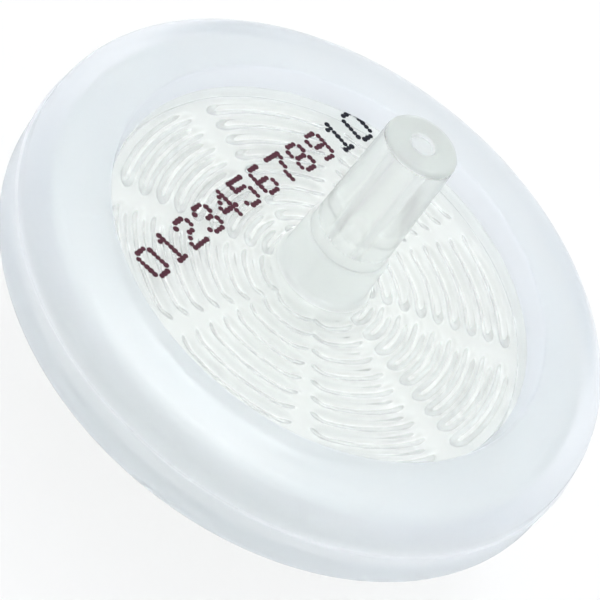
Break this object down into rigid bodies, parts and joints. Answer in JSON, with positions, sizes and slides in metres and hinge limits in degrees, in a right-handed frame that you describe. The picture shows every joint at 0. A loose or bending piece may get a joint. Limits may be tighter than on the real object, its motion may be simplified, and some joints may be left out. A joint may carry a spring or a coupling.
{
  "type": "syringe filter",
  "caption": "Round milky-clear disposable syringe filter with a ribbed window, a male luer slip outlet nozzle and a female luer-lock inlet neck.",
  "frame": {"origin": "centre of the flat end of the inlet neck, which is also the centre of the bottom of the whole part's box", "axes": "+Z along the flow axis from the inlet neck to the outlet nozzle's tip; the two luer-lock lugs lie along +X and -X"},
  "size_m": [0.033, 0.033, 0.0222],
  "materials": {
    "housing": "natural moulded polypropylene, clear to milky",
    "ring": "milky overmoulded polypropylene, satin",
    "membrane": "matt white porous film",
    "prefilter": "matt white glass-fibre mat"
  },
  "bodies": {
    "root": {"inlet_housing": "housing", "prefilter_disc": "prefilter", "membrane_disc": "membrane", "outlet_housing": "housing", "overmould_ring": "ring"}
  },
  "joints": []
}
